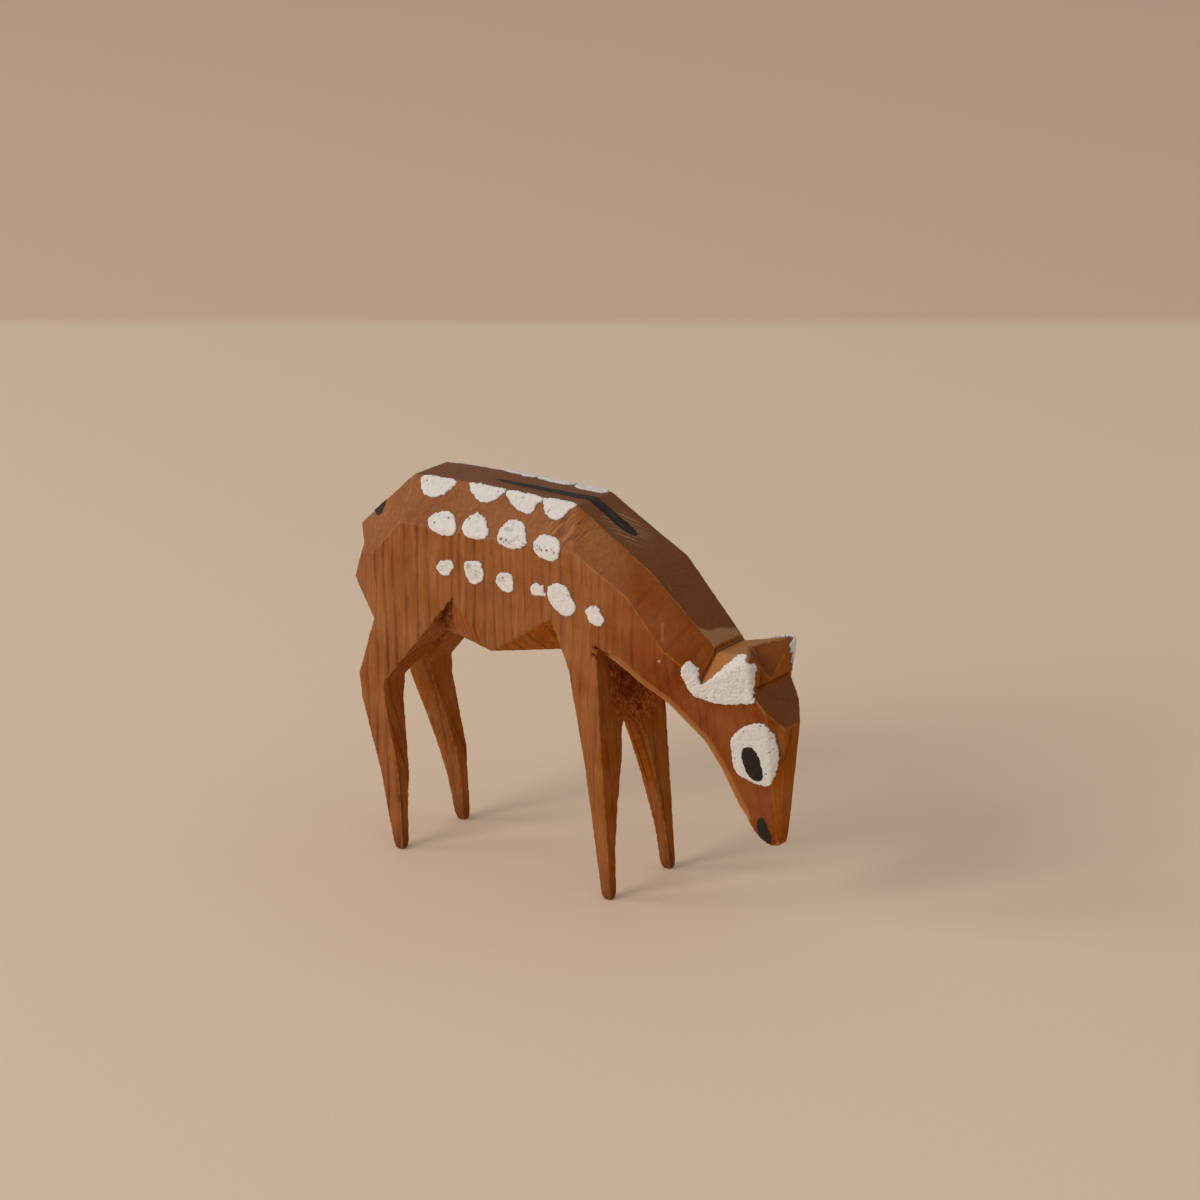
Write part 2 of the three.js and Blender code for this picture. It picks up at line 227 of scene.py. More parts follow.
floor_finish, graph, shader = new_finish("pale_board")
place = step(graph, "ShaderNodeTexCoord", {}).outputs["Object"]
away = Vector((-math.sin(camera_azimuth), math.cos(camera_azimuth), 0))
distance = step(graph, "ShaderNodeVectorMath", {0: place, 1: away}, operation="DOT_PRODUCT")
line_start, line_end = back_line - back_line_softness, back_line + back_line_softness
# Painted shade: past the back line the sheet turns darker, standing in for the upright board behind it.
painted_wall_shade = remap(graph, distance.outputs["Value"], line_start, line_end)
flecks = remap(graph, mottle(graph, millimetres(graph), 0.5), 0.3, 0.7, 0.0, 0.12)
board = blend_colour(graph, painted_wall_shade, floor_near_colour, floor_painted_shade_colour)
board = blend_colour(graph, flecks, board, floor_fleck_colour)
fill(graph, shader, {"Base Color": board, "Roughness": 0.75, "Specular IOR Level": 0.25})
floor.data.materials.append(floor_finish)
print("floor laid")

# %% [markdown]
# ## Light from two windows
#
# Each foot throws two faint streaks of shadow. One runs straight to the right, the other
# to the right and away from the camera. So there are two soft lights, low down: a large
# one almost square to the side of the fawn, and a weaker one further to the left. The rest
# comes from all around, as in a bright room. Faces that turn to the front get
# neither window, and that is what makes the facets readable.

# %% Hang the lights
room_colour = tone(252, 249, 246)
room_strength = 0.43
window_colour = tone(255, 250, 244)
windows_aim = Vector((0, 0, 0.04))
windows = {
    "front_window": {"azimuth": -19, "elevation": 30, "distance": 2.2, "size": 0.95, "watts": 16.5},
    "left_window": {"azimuth": -58, "elevation": 28, "distance": 2.2, "size": 0.8, "watts": 7.0},
}

world = bpy.data.worlds.new("room")
world.use_nodes = True
background = world.node_tree.nodes["Background"]
fill(world.node_tree, background, {"Color": room_colour, "Strength": room_strength})
scene.world = world

for name, window in windows.items():
    lamp = add_object(name, bpy.data.lights.new(name, "AREA"))
    lamp.data.size = window["size"]
    lamp.data.energy = window["watts"]
    lamp.data.color = window_colour[:3]
    side = direction(math.radians(window["azimuth"]), math.radians(window["elevation"]))
    turn_towards(lamp, side * window["distance"], windows_aim)
scene.view_settings.view_transform = "Standard"
print("windows:", ", ".join(windows))

# %% [markdown]
# ## From flat facets to cut wood
#
# The CAD body has long thin triangles and knife-sharp edges. Real wood has neither. We need
# an even skin of small faces that can take relief. Subdividing would keep the bad triangles,
# so we wrap the body in a voxel remesh instead, whose small squares are all alike.
#
# A voxel remesh blurs. To win back the true facets, each point is moved to the nearest spot of
# the CAD surface. A few rounds of relaxing then draw each point towards its neighbours. On a
# flat facet that changes nothing, because the neighbours lie in the same plane. Only the
# edges give way, and take on the small round that fingers and a worn blade leave.

# %% Helpers for working on a whole mesh at once
def read_mesh(mesh):
    """The points in millimetres, and the squares as rows of four point numbers."""
    points = np.empty(len(mesh.vertices) * 3)
    mesh.vertices.foreach_get("co", points)
    corner_points = np.empty(len(mesh.loops), dtype=np.int64)
    mesh.loops.foreach_get("vertex_index", corner_points)
    return points.reshape(-1, 3) / MM, corner_points.reshape(-1, 4)


def write_mesh(name, points, faces):
    """A new mesh from points in millimetres and a list of faces, with soft shading."""
    mesh = bpy.data.meshes.new(name)
    mesh.from_pydata((points * MM).tolist(), [], faces.tolist())
    mesh.shade_smooth()
    return mesh


def summed(indices, values, count):
    """Adds up the rows of values that go to the same point."""
    return np.stack([np.bincount(indices, values[:, k], count) for k in range(3)], axis=1)


def unit(vectors):
    """Each row, made one long."""
    return vectors / np.maximum(np.linalg.norm(vectors, axis=1, keepdims=True), 1e-12)


def outward(points, squares):
    """The direction straight out of the surface at each point."""
    a, b, c, d = (points[squares[:, k]] for k in range(4))
    straight_out = np.cross(c - a, d - b)
    return unit(sum(summed(squares[:, k], straight_out, len(points)) for k in range(4)))


def relaxed(points, squares, rounds, pull=0.5):
    """The points, drawn towards the middle of their neighbours a few times."""
    count = len(points)
    sides = [(squares[:, k], squares[:, (k + 1) % 4]) for k in range(4)]
    starts = np.concatenate([a for a, b in sides] + [b for a, b in sides])
    ends = np.concatenate([b for a, b in sides] + [a for a, b in sides])
    neighbours = np.bincount(starts, minlength=count)[:, None]
    for _ in range(rounds):
        points = points + pull * (summed(starts, points[ends], count) / neighbours - points)
    return points


print("mesh helpers ready")

# %% Wrap the body in small squares
square_size = 0.25


def remeshed(node, size):
    """The node's shape as a skin of small squares."""
    copy = add_object("remesh_copy", node.data.copy())
    wrap = copy.modifiers.new("wrap", "REMESH")
    wrap.mode = "VOXEL"
    wrap.voxel_size = size * MM
    graph_state = bpy.context.evaluated_depsgraph_get()
    skin = bpy.data.meshes.new_from_object(copy.evaluated_get(graph_state))
    bpy.data.objects.remove(copy)
    return skin


def on_surface(points, node):
    """Each point, moved to the nearest spot on the node."""
    shape = node.data
    corners = [v.co / MM for v in shape.vertices]
    shape.calc_loop_triangles()
    triangles = [t.vertices for t in shape.loop_triangles]
    surface = BVHTree.FromPolygons(corners, triangles)
    return np.array([surface.find_nearest(p)[0] for p in points])


body = frame["nodes"]["carved_body"]
body_points, body_squares = read_mesh(remeshed(body, square_size))
body_points = relaxed(body_points, body_squares, 1)
sharp_points = on_surface(body_points, body)
body_points = relaxed(sharp_points, body_squares, 3)
print("squares on the body:", len(body_squares))

# %% [markdown]
# ## The bevel under the neck and jaw
#
# On the real fawn the carver ran a knife along the lower edge of the neck and jaw, and left a
# light narrow band there. Seen from the side, it follows a line of straight stretches. The
# band reaches much further up the side than in under the neck, which is why it shows so well
# from above, and it fades out at both ends.
#
# A bevel modifier would make it equally wide on both faces, and would need a sharp edge to
# find, which the fine mesh no longer has. So we work out the cut point by point.
#
# For each point near the line we measure how far it lies above the under face, and how deep
# behind the side face. Each is taken as a share of the bevel's reach. Where the two shares add up
# to less than one, the wood has been cut away, and the point moves straight in to the bevel.

# %% Helpers for measuring along a path
def along_path(places, path):
    """How high each place lies over a path, how far along, the path's length, and which way is up."""
    best = np.full(len(places), np.inf)
    height = np.zeros(len(places))
    travelled = np.zeros(len(places))
    upward = np.zeros((len(places), 2))
    walked = 0.0
    for start, end in zip(path[:-1], path[1:]):
        way = end - start
        length = np.linalg.norm(way)
        way = way / length
        up = np.array([-way[1], way[0]])
        ahead = np.clip((places - start) @ way, 0, length)
        gap = np.linalg.norm(places - start - ahead[:, None] * way, axis=1)
        closer = gap < best
        height[closer] = (np.sign((places - start) @ up) * gap)[closer]
        travelled[closer] = (walked + ahead)[closer]
        upward[closer] = up
        best[closer] = gap[closer]
        walked += length
    return height, travelled, walked, upward


def smooth_step(values, low, high):
    """Nought below low, one above high, and an easy slope between them."""
    share = np.clip((values - low) / (high - low), 0, 1)
    return share * share * (3 - 2 * share)


print("path helpers ready")

# %% Cut the bevel
under_edge = np.array([
    (12.6, 48.2), (19.3, 44.8), (26.3, 40.2), (32.9, 33.7), (35.7, 28.5), (38.5, 21.5), (41.5, 16.3),
])
reach_up = 1.75
reach_in = 0.65
fade_in = 4
fade_out = 5
gap_to_leg = 0.1
edge_slack = 0.3
block_half = 11.0
head_side_marks = np.array([(33.1, 44.8, 8.8), (45.4, 40.5, 5.7), (46.2, 16.5, 1.8)])


def half_thickness(x, z):
    """Half the thickness of the wood seen from above: even in the block, narrowing in the head."""
    rows = np.column_stack([np.ones(3), head_side_marks[:, :2]])
    level, by_x, by_z = np.linalg.solve(rows, head_side_marks[:, 2])
    return np.minimum(block_half, level + by_x * x + by_z * z)


def bevelled(points):
    """The points, with the wood of the bevel cut away on both sides."""
    x, y, z = points.T
    side_depth = half_thickness(x, z) - np.abs(y)
    under_depth, travelled, length, upward = along_path(points[:, [0, 2]], under_edge)
    fading = smooth_step(travelled, 0, fade_in) * smooth_step(length - travelled, 0, fade_out)
    taper = np.maximum(fading, 0.01)
    up_share = np.maximum(under_depth, 0) / (reach_up * taper)
    in_share = np.maximum(side_depth, 0) / (reach_in * taper)
    slope = math.hypot(1 / reach_up, 1 / reach_in)
    near = (under_depth > -edge_slack) & (under_depth < 2 * reach_up)
    near = near & (np.abs(side_depth) < 2 * reach_up) & (travelled > gap_to_leg)
    cut = np.where(near, np.maximum(1 - up_share - in_share, 0), 0) * taper / slope
    inward = np.column_stack([upward[:, 0] / reach_up, -np.sign(y) / reach_in, upward[:, 1] / reach_up])
    return points + cut[:, None] * inward / slope, cut


body_points, bevel_cut = bevelled(body_points)
print("points moved for the bevel:", int((bevel_cut > 0).sum()))

# %% [markdown]
# ## Growth rings
#
# The block was cut from a trunk, so its rings are nested tubes round a pith that lies outside
# the block. On the sawn sides, which run along the tubes, they show as upright lines about
# 1.6 mm apart. On the top, where the knife cut across the grain, the same rings show as lines
# that slant over the back. Painting stripes could never get both right. So each point of the
# mesh gets its own ring number, worked out from its distance to the pith, and both the
# relief and the colour are made from that one number.
#
# No ring is a perfect tube. A broad wander bends them, and two finer ones make each line tremble.

# %% Number the rings
pith = np.array([-123.7, 70.0])
ring_width = 1.6
ring_wanders = [
    {"by": 1.1, "size": 16, "stretch": (1, 1, 0.45)},
    {"by": 0.34, "size": 3.5, "stretch": (1, 1, 0.35)},
    {"by": 0.08, "size": 1.1, "stretch": (1, 1, 0.25)},
]


def wander(points, size, stretch=(1, 1, 1), seed=0):
    """Smooth random values from -1 to 1, with bumps of about this size in millimetres."""
    places = points * np.array(stretch) / size + 17.3 * seed
    return np.array([noise.noise(p) for p in places.tolist()])


def ring_number(points):
    """How many rings lie between the pith and each point, with part rings as fractions."""
    distance = np.linalg.norm(points[:, :2] - pith, axis=1)
    for seed, bend in enumerate(ring_wanders, 1):
        distance = distance + bend["by"] * wander(points, bend["size"], bend["stretch"], seed)
    unevenness = 0.5 * np.sin(distance / 2.3) + 0.5 * np.sin(distance / 5.9 + 1)
    return (distance + unevenness) / ring_width


body_rings = ring_number(body_points)
print("rings across the block:", round(float(np.ptp(body_rings)), 1))

# %% [markdown]
# ## What the saw and the knife left
#
# No cut is perfectly flat. A knife pushed through wood drifts a little, so each facet swells
# and dips by less than a tenth of a millimetre, and the edges wander. The hard late wood of
# each ring stands a hair proud of the soft early wood. Where an edge runs across the grain,
# small splinters have broken out.
#
# Bump in the material would shade the facets but leave every edge as straight as a ruler. So
# all of that is relief on the mesh itself, and shows in the outline and in the shadows. How
# sharply the surface turns is measured first: it is how far the relaxing moved a point.
# Edges come out positive and creases negative.

# %% Measure the edges and the cuts across the grain
body_normals = outward(body_points, body_squares)
moved_by_relaxing = sharp_points - relaxed(sharp_points, body_squares, 5)
turn_measure = np.einsum("ij,ij->i", moved_by_relaxing, body_normals)
body_edges = smooth_step(turn_measure, 0.02, 0.14)
worn_edges = smooth_step(turn_measure, 0.008, 0.05)
body_creases = smooth_step(-turn_measure, 0.02, 0.16)
facing_up = smooth_step(body_normals[:, 2], 0.25, 0.65)
facing_sideways = smooth_step(np.abs(body_normals[:, 1]), 0.3, 0.6)
across_grain = facing_up * (0.2 + 0.8 * (1 - facing_sideways))
print("points on an edge:", int((body_edges > 0.5).sum()))

# %% Shape the cuts
swell_height = 0.07
ripple_height = 0.035
edge_drift = 0.13
late_wood_height = 0.03
splinter_depth = 0.16

relief = swell_height * wander(body_points, 6, seed=3)
relief = relief + ripple_height * wander(body_points, 1.8, seed=4)
relief = relief + edge_drift * body_edges * wander(body_points, 1.6, seed=5)
late_wood = np.clip(1 - np.abs((body_rings % 1) - 0.8) / 0.2, 0, 1)
relief = relief + late_wood_height * late_wood * (1 - across_grain)
splinters = smooth_step(wander(body_points, 0.8, seed=6), 0.22, 0.5)
relief = relief - splinter_depth * body_edges * splinters
print("relief from", round(float(relief.min()), 2), "to", round(float(relief.max()), 2), "mm")

# %% [markdown]
# ## Kerfs, slips and a knot
#
# A few marks belong to this fawn alone. Stop cuts run a little too deep where the neck meets
# the forelegs, at the flank and in front of the ears. The right flank has a nick, the hind
# tunnel a small knot with two cracks, and the knife slipped twice over the neck.
#
# Wedges could be cut out with booleans, but on so fine a mesh these are slow and leave slivers.
# It does as well to push the points of the mesh in. Each mark is then a groove: a straight
# stretch with a width and a depth, that thins out towards its far end. The stop cuts are on
# both sides, since a carver works such a block in pairs of cuts. The chance marks are on the
# right side alone, where the photograph shows them.

# %% Helpers for cutting grooves
both_sides = (-1, 1)
right_only = (-1,)


def groove(start, end, width, depth, sides=both_sides):
    """A groove between two places on the left side, in millimetres, and the sides that have it."""
    return {
        "start": np.array(start), "end": np.array(end), "width": width, "depth": depth, "sides": sides,
    }


def groove_depth(points, start, end, width, depth, sides):
    """How deep a groove cuts at each point. It thins out towards its far end."""
    way = end - start
    cut = np.zeros(len(points))
    for side in sides:
        places = points * (1, side, 1) - start
        along = np.clip(places @ way / (way @ way), 0, 1)
        gap = np.linalg.norm(places - along[:, None] * way, axis=1)
        cut = np.maximum(cut, depth * (1 - 0.6 * along) * np.exp(-((gap / width) ** 2)))
    return cut


def deepest(points, grooves):
    """How deep the deepest of a list of grooves goes at each point."""
    return np.max([groove_depth(points, **cut) for cut in grooves], axis=0)


print("groove helpers ready")

# %% Cut the grooves
neck_kerfs = [
    groove((11.7, 11.0, 48.6), (19.7, 11.0, 45.3), 0.34, 0.6),
    groove((11.3, 11.0, 47.2), (14.5, 10.0, 45.5), 0.3, 0.5),
]
flank_kerfs = [
    groove((-20.5, 10.9, 52.3), (-22.9, 8.4, 47.1), 0.22, 0.5),
    groove((-21.3, 10.9, 51.2), (-25.5, 7.5, 46.2), 0.24, 0.42),
]
flank_nick = [groove((-30.7, 11.0, 50.7), (-30.7, 11.0, 48.9), 0.22, 0.16, right_only)]
knot = [
    groove((-31.1, 1.5, 39.7), (-31.6, 1.7, 39.2), 0.45, 0.35, right_only),
    groove((-31.2, 1.6, 39.7), (-29.9, 0.9, 41.1), 0.2, 0.16, right_only),
    groove((-31.5, 1.7, 39.3), (-33.4, 2.6, 37.0), 0.2, 0.14, right_only),
]
ear_stop_cut = [groove((43.0, 5.8, 45.0), (43.1, -5.8, 44.7), 0.25, 0.4)]
knife_slips = [
    groove((25.1, 8.9, 55.0), (26.1, 10.2, 52.1), 0.2, 0.06, right_only),
    groove((19.4, 2.2, 65.4), (24.2, 4.6, 60.0), 0.16, 0.04, right_only),
]

slits = deepest(body_points, neck_kerfs + flank_kerfs + flank_nick + knot + ear_stop_cut)
scratched = deepest(body_points, knife_slips)
print("deepest slit:", round(float(slits.max()), 2), "mm")

# %% [markdown]
# ## Chopped wood and torn grain
#
# The wood between the forelegs was chopped out with the point of the knife and never smoothed,
# so it is rough and stringy, and so is the top of the tunnel between the hind legs. Behind
# the withers the knife met rising grain and tore it into short slanting ridges.
#
# Sculpting by hand would do, but nobody could repeat it. So both are balls of space, stretched
# to fit, in which the relief gets a stronger noise. The noise is drawn out along the grain,
# which is what turns bumps into strings and ridges.

# %% Chop the chest and tear the grain
chest_middle = np.array([10.8, 2.5, 39.0])
chest_reach = np.array([6.0, 13.0, 11.5])
apex_middle = np.array([-23.8, 8.2, 48.0])
apex_reach = np.array([3.4, 4.5, 5.5])
torn_middle = np.array([4.4, 8.2, 69.4])
torn_reach = np.array([6.5, 3.4, 3.6])
chop_height = 0.55
chop_sink = 0.05
tear_height = 0.26
tear_slant = 0.55


def inside_ball(points, middle, reach):
    """One at the middle of a stretched ball, nought outside it."""
    return 1 - smooth_step(np.linalg.norm((points - middle) / reach, axis=1), 0.5, 1)


folded_points = np.column_stack([body_points[:, 0], np.abs(body_points[:, 1]), body_points[:, 2]])
facing_down = smooth_step(-body_normals[:, 2], 0.1, 0.3)
chest = inside_ball(body_points, chest_middle, chest_reach) * smooth_step(body_normals[:, 0], -0.2, 0.4)
apex = inside_ball(folded_points, apex_middle, apex_reach) * facing_down
body_chopped = np.maximum(chest, apex)
ragged_rim = body_chopped + 0.7 * wander(body_points, 1.1, (1, 1, 0.5), 11)
body_chopped = body_chopped * smooth_step(ragged_rim, 0.05, 0.5)
strings = wander(body_points, 1.3, (1, 1, 0.5), 7) + 0.8 * wander(body_points, 0.55, (1, 1, 0.35), 8)
chop_relief = body_chopped * (chop_height * strings - chop_sink)

slanted_points = body_points @ np.array([(1, 0, 0), (0, 1, 0), (-tear_slant, 0, 1)])
fibres = wander(slanted_points, 0.5, (1, 0.25, 0.16), 9)
body_torn = inside_ball(folded_points, torn_middle, torn_reach)
body_torn = body_torn * smooth_step(wander(body_points, 2.0, seed=10), -0.4, 0.2)
torn_relief = body_torn * (tear_height * fibres)

relief = relief + chop_relief + torn_relief - slits - scratched
wood_points = body_points + relief[:, None] * body_normals
print("chopped points:", int((body_chopped > 0.5).sum()), "torn points:", int((body_torn > 0.5).sum()))

# %% [markdown]
# ## Soles worn round
#
# The legs end in small flat soles, and standing has worn their edges round. A bevel there would
# look machined. Instead, each point of a leg near the floor is drawn in towards the middle of
# its sole, most of all at the bottom, and the facets run softly into the round.

# %% Round the feet
foot_height = 1.8
foot_narrowing = 0.34
sole_height = 0.3

wood_points[:, 2] = np.maximum(wood_points[:, 2], 0)
height = wood_points[:, 2]
for ahead, side in ((-1, -1), (-1, 1), (1, -1), (1, 1)):
    foot = (wood_points[:, 0] * ahead > 0) & (wood_points[:, 1] * side > 0) & (height < foot_height)
    sole = wood_points[foot & (height < sole_height), :2].mean(axis=0)
    depth = 1 - height[foot, None] / foot_height
    wood_points[foot, :2] -= foot_narrowing * depth ** 2.5 * (wood_points[foot, :2] - sole)
    print("sole at", sole.round(1))

# %% [markdown]
# ## The wood piece
#
# Now the points become a mesh. It carries measures along as named values, one for each
# point, and the finish can read them by name: the ring number, how much the cut runs across
# the grain, how worn an edge is, and where the wood is chopped or torn. Images could hold the
# same, but they need the surface unrolled without seams, and a value on a point needs nothing.
#
# Some of them say where the light wood of a fresh cut shows, such as the end of the neck and
# the cuts behind the ears. One says where a face looks forward, or down between the legs.
# Such faces get a deeper, warmer brown, painted in as the warm light that the floor throws
# into their shade. Where the knife crossed the grain of the withers, fine silky streaks shine through the
# oil.

# %% Make the wood piece
wood_mesh = write_mesh("carved_wood", wood_points, body_squares)
wood_normals = outward(wood_points, body_squares)
wood = add_object("carved_wood", wood_mesh)
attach(wood, "root")
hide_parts("carved_body")
print("wood points:", len(wood_points))

# %% Find the light-coloured and the silky wood, and the faces for painted floor light
x, y, z = body_points.T
ahead, sideways, up = body_normals.T
on_neck_top = (ahead > 0.45) & (up > 0.5) & (np.abs(sideways) < 0.25) & (z > 49)
neck_end = smooth_step(x - 0.22 * y + 0.5 * wander(body_points, 2.5, seed=15), 31.4, 32.1) * on_neck_top
behind_ears = (ahead < -0.1) & (up > 0.4) & (x > 33) & (z > 42)

silk_middle = np.array([11.5, 0.0, 69.0])
silk_reach = np.array([7.5, 5.2, 6.0])
silk_path = 0.65 * x - 0.76 * y
silk_path = silk_path + 1.1 * wander(body_points, 5, seed=12) + 0.12 * wander(body_points, 1.2, seed=13)
silk_waves = np.sin(silk_path * 2 * math.pi / 0.95) + 0.5 * np.sin(silk_path * 2 * math.pi / 0.41)
silk = inside_ball(body_points, silk_middle, silk_reach) * across_grain
silk = silk * smooth_step(silk_waves, -0.1, 1.1)
silk = silk * smooth_step(wander(body_points, 3.0, seed=14), -0.5, 0.2)

# Faces that look forward, or down between the legs, are marked for a painted warm brown that stands in
# for floor light in their shade.
knife_cut = 1 - smooth_step(np.abs(sideways), 0.8, 0.95)
facing_ahead = smooth_step(ahead, 0.1, 0.5) * (1 - facing_up)
facing_inward = sideways * y < 0
floor_bounce_faces = np.maximum(knife_cut * facing_ahead, facing_down * np.maximum(knife_cut, facing_inward))
print("sheltered points:", int((floor_bounce_faces > 0.5).sum()))

# %% Mark the wood for its finish
paint_drops = [(25.8, -10.8, 48.6), (27.3, -9.2, 40.2)]
drop_size = 0.3


def give_marks(mesh, marks):
    """Stores named values on the mesh, one for each point."""
    for name, values in marks.items():
        mesh.attributes.new(name, "FLOAT", "POINT").data.foreach_set("value", values.astype(np.float32))


drop_gaps = np.min([np.linalg.norm(body_points - drop, axis=1) for drop in paint_drops], axis=0)
# The heart of the chopped wood is marked for painted shade, deepest between the legs.
chest_heart = inside_ball(body_points, chest_middle, 0.5 * chest_reach)
wood_marks = {
    "ring": body_rings,
    "across_grain": across_grain,
    "tilted": facing_up,
    "deep": smooth_step(x, 10, 22),
    "floor_bounce_faces": floor_bounce_faces,
    "neck_end": neck_end,
    "behind_ears": behind_ears,
    "silk": silk,
    "tip": 1 - smooth_step(z, 0.5, 7),
    "edge": worn_edges,
    "crease": body_creases,
    "bevel": np.clip(bevel_cut / 0.2, 0, 1),
    "chopped": body_chopped,
    "chopped_heart_shade": np.maximum(chest_heart, apex),
    # Torn grain: its ridges get a painted highlight and its valleys painted shade.
    "torn_ridge_highlight": body_torn * smooth_step(fibres, 0.0, 0.35),
    "torn_valley_shade": body_torn * smooth_step(-fibres, 0.0, 0.35),
    "slit": np.clip(slits / 0.5, 0, 1),
    "scratch": np.clip(scratched / 0.03, 0, 1),
    "speck": 1 - smooth_step(drop_gaps, 0.5 * drop_size, drop_size),
}
give_marks(wood_mesh, wood_marks)
print("marks:", ", ".join(wood_marks))

# %% [markdown]
# ## The finish of the wood
#
# The wood is a warm reddish brown with a thin coat of oil. Each ring runs from pale early wood
# to a thin dark line of late wood. The brown deepens towards the head. Faces that look forward
# or down between the legs get the richest tone, painted in as warm floor light in their shade.
# Cuts across the grain soak up more oil and turn darker and greyer.
# On top of that come fine fibres, drawn out along the grain, and tiny dark pores.
#
# A picture of a plank would be quicker, but it would show the same grain on every face. Here
# the finish is mixed in steps, each of which changes the colour that came before. A change is
# a blend towards one more colour. Its share comes from a mark on the mesh, or from a mottle.

# %% Name the colours of the wood
early_wood = tone(156, 89, 30)
late_wood_line = tone(92, 40, 8)
deep_wood = tone(138, 60, 2)
# Painted light: a warm deep brown for faces that look forward or down, as if lit from the floor.
floor_bounce_wood = tone(166, 88, 8)
end_grain = tone(134, 80, 40)
end_grain_dark = tone(92, 52, 26)
end_grain_line = tone(186, 144, 104)
pale_wood_and_highlight = tone(198, 138, 84)
fresh_cut = tone(196, 134, 78)
neck_end_wood = tone(190, 146, 100)
painted_shade_wood = tone(66, 28, 6)
chopped_wood_lightened = tone(172, 90, 28)
chopped_hollow_shade = tone(78, 26, 6)
fibre_tip_highlight = tone(208, 132, 60)
# Painted shade deep in the slits and cracks; at the knot it is also the dark of the wood itself.
slit_shade_and_knot = tone(34, 14, 6)
paint_speck = tone(222, 206, 188)

wood_finish, graph, shader = new_finish("oiled_wood")
wood_mesh.materials.append(wood_finish)
place = millimetres(graph)
along_fibres = millimetres(graph, (1, 1, 0.07))
print("wood finish started")

# %% Draw the rings
ring_shades = [(0.0, 0.1), (0.45, 0.1), (0.66, 0.45), (0.78, 1.0), (0.9, 0.9), (0.97, 0.2), (1.0, 0.12)]


def times(first, second):
    """The product of two numbers, in the finish that is being mixed."""
    return maths(graph, "MULTIPLY", first, second)


ring = marked(graph, "ring")
ring_ramp = step(graph, "ShaderNodeValToRGB", {"Fac": maths(graph, "FRACT", ring)})
shades = ring_ramp.color_ramp.elements
for position, shade in ring_shades[1:-1]:
    shades.new(position)
for element, (position, shade) in zip(shades, ring_shades):
    element.position = position
    element.color = (shade, shade, shade, 1)

whole_ring = {"W": maths(graph, "FLOOR", ring)}
ring_chance = step(graph, "ShaderNodeTexWhiteNoise", whole_ring, noise_dimensions="1D").outputs["Value"]
ring_strength = remap(graph, ring_chance, 0, 1, 0.3, 1.0)
fading = remap(graph, mottle(graph, millimetres(graph, (1, 1, 0.2)), 1.5), 0.3, 0.6, 0.45, 1.0)
weaker_on_top = remap(graph, marked(graph, "tilted"), 0.0, 1.0, 1.0, 0.3)
dark_line = times(times(times(ring_ramp.outputs["Color"], ring_strength), fading), weaker_on_top)
print("shades of a ring:", len(shades))

# %% Colour the sawn sides and the cuts across the grain
fibre = mottle(graph, along_fibres, 0.22, 4.0)
streaks = mottle(graph, along_fibres, 0.6, 2.0)
chatter = mottle(graph, place, 0.7, 3.0)
patches = mottle(graph, place, 7.0)
pores = mottle(graph, place, 0.28, 5.0)


def where_marked(colour, mark, share, other):
    """The colour, changed towards another by this share where the mesh carries the mark."""
    return blend_colour(graph, times(marked(graph, mark), share), colour, other)


def where_mottled(colour, pattern, low, high, share, other):
    """The colour, changed towards another by this share where a pattern rises from low to high."""
    return blend_colour(graph, remap(graph, pattern, low, high, 0.0, share), colour, other)


plain_wood = where_marked(early_wood, "deep", 0.95, deep_wood)
# Painted light: faces that look forward or down take the warm brown of floor light in shade.
plain_wood = where_marked(plain_wood, "floor_bounce_faces", 0.9, floor_bounce_wood)
side_colour = blend_colour(graph, dark_line, plain_wood, late_wood_line)
side_colour = where_mottled(side_colour, fibre, 0.35, 0.7, 0.35, late_wood_line)
side_colour = where_mottled(side_colour, streaks, 0.5, 0.72, 0.2, late_wood_line)
paler = remap(graph, marked(graph, "deep"), 0.0, 1.0, 0.22, 0.06)
side_colour = where_mottled(side_colour, streaks, 0.48, 0.3, paler, pale_wood_and_highlight)
side_colour = where_mottled(side_colour, chatter, 0.5, 0.7, 0.2, late_wood_line)
side_colour = where_mottled(side_colour, patches, 0.35, 0.7, 0.2, pale_wood_and_highlight)

end_colour = blend_colour(graph, remap(graph, pores, 0.4, 0.7, 0.1, 0.7), end_grain, end_grain_dark)
end_colour = blend_colour(graph, times(dark_line, 0.6), end_colour, end_grain_dark)
end_colour = where_marked(end_colour, "silk", 0.7, end_grain_line)
across = marked(graph, "across_grain")
colour = blend_colour(graph, across, side_colour, end_colour)
print("sides and cuts coloured")

# %% [markdown]
# ## Wear, painted light and shade, rough wood and slits
#
# Handling has rubbed the edges lighter. The creases and the feet near the floor are painted
# darker, as painted shade. Chopped wood is painted lighter overall, with painted highlights on the
# tips of its fibres and painted shade, nearly black, in its hollows. Torn grain gets painted
# highlights on its ridges and painted shade in its valleys. Slits are painted dark all the way down
# as painted shade, and the knot among them is dark wood as well. Two drops of white paint have
# fallen on the neck. All these lie over the plain colours, so they are blended in last.

# %% Add wear, painted light and shade, rough wood and slits
rubbed = remap(graph, mottle(graph, place, 1.4), 0.38, 0.58, 0.15, 1.0)
edge_share = times(maths(graph, "POWER", marked(graph, "edge"), 2.6), rubbed)
colour = blend_colour(graph, times(edge_share, 0.55), colour, pale_wood_and_highlight)
wear_and_painted_shade = [
    ("bevel", 0.42, fresh_cut),
    ("neck_end", 0.6, neck_end_wood),
    ("behind_ears", 0.6, fresh_cut),
    # Painted shade: the legs darken towards the floor and the creases darken.
    ("tip", 0.4, painted_shade_wood),
    ("crease", 0.7, painted_shade_wood),
]
for mark, share, other in wear_and_painted_shade:
    colour = where_marked(colour, mark, share, other)

